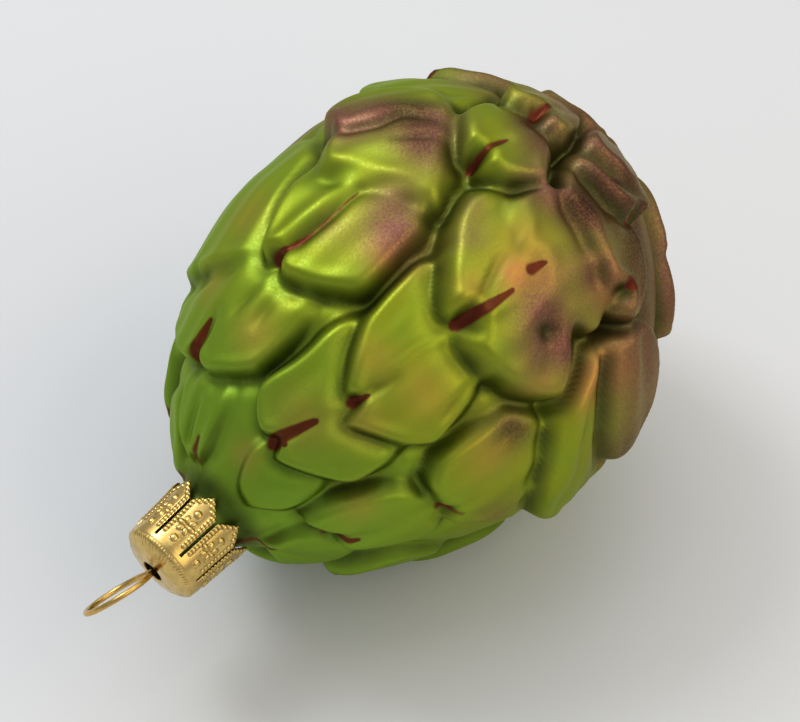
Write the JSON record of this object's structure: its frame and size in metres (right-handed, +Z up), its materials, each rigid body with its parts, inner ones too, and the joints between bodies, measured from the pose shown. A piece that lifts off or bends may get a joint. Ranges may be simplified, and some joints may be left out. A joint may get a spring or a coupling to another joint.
{
  "type": "artichoke-shaped glass ornament",
  "caption": "Hollow blown-glass tree ornament shaped like an artichoke, with a stamped crown cap and a wire hanging loop, lying on its side.",
  "frame": {"origin": "on the resting surface, under the middle of the ornament's box", "axes": "+Z up; +X from the hanging loop to the broad end, level; the ornament's own axis rises 10 degrees towards +X; -Y is the side whose bracts have outlines of their own"},
  "size_m": [0.1056, 0.0692, 0.0697],
  "materials": {
    "lacquered_glass": "satin pearl lacquer in greens, ochre and plum over silvered glass",
    "cap_brass": "bright gilt stamping",
    "loop_wire": "bright gilt spring wire"
  },
  "bodies": {
    "root": {"glass_body": "lacquered_glass", "crown_cap": "cap_brass", "hanging_loop": "loop_wire"}
  },
  "joints": []
}
